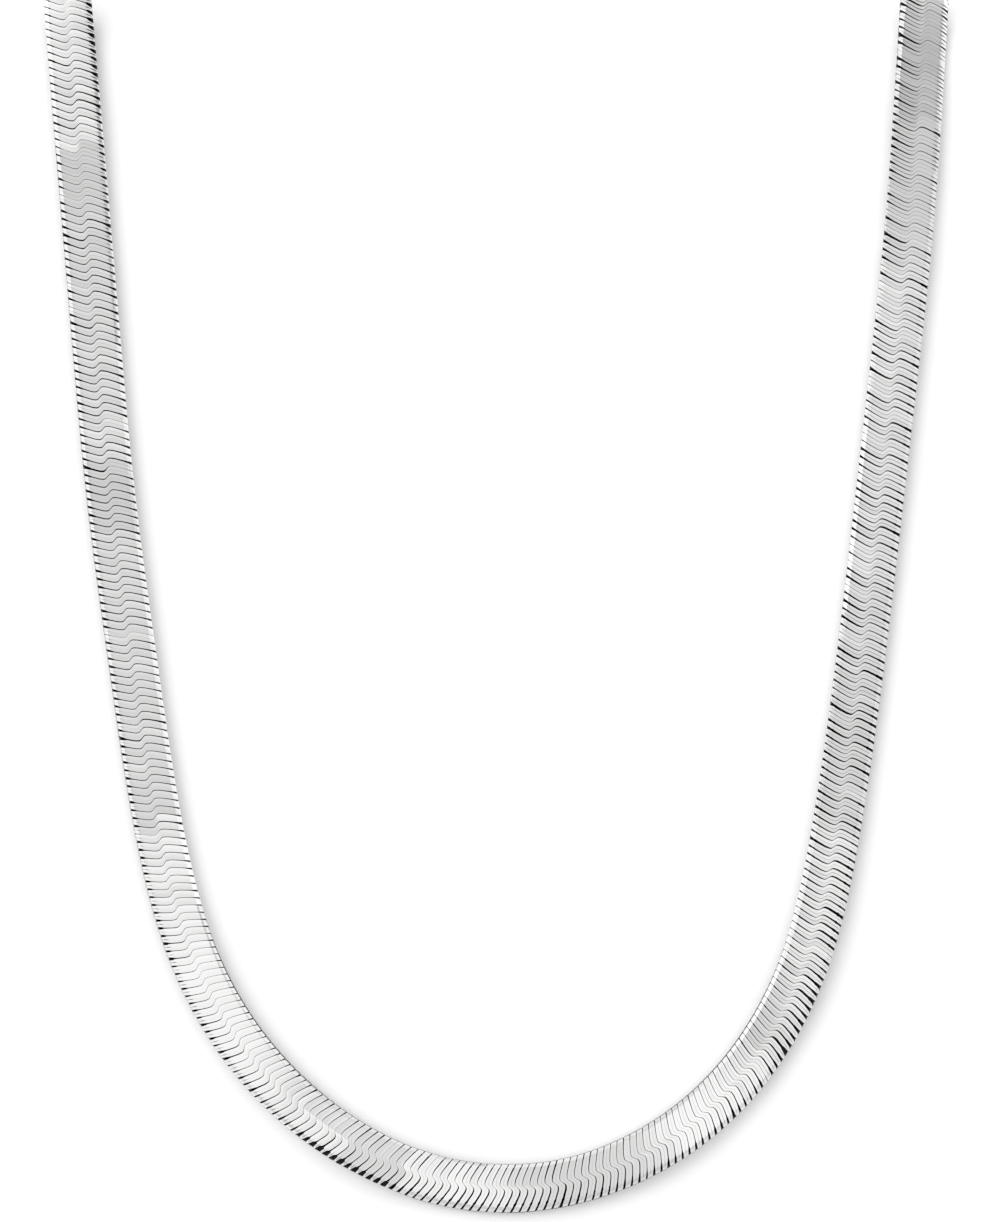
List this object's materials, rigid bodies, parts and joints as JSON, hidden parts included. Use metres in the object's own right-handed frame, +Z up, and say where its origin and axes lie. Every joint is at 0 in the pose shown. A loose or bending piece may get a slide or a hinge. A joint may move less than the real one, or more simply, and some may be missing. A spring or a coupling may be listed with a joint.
{
  "type": "herringbone chain necklace",
  "caption": "Flat herringbone chain necklace with folded end caps, jump rings and a hook clasp, held in its worn U form.",
  "frame": {"origin": "middle of the clasp's inner face, where the necklace hangs on the back of the neck", "axes": "+Z up, the front of the necklace faces -Y, and +X is to the right seen from the front"},
  "size_m": [0.1028, 0.072, 0.1828],
  "materials": {
    "chain_silver": "polished white silver links with a flat, lightly brushed face",
    "fitting_silver": "polished white silver"
  },
  "bodies": {
    "root": {"herringbone_band": "chain_silver", "end_cap_left": "fitting_silver", "end_cap_right": "fitting_silver", "jump_ring": "fitting_silver", "catch_ring": "fitting_silver", "clasp": "fitting_silver"}
  },
  "joints": []
}
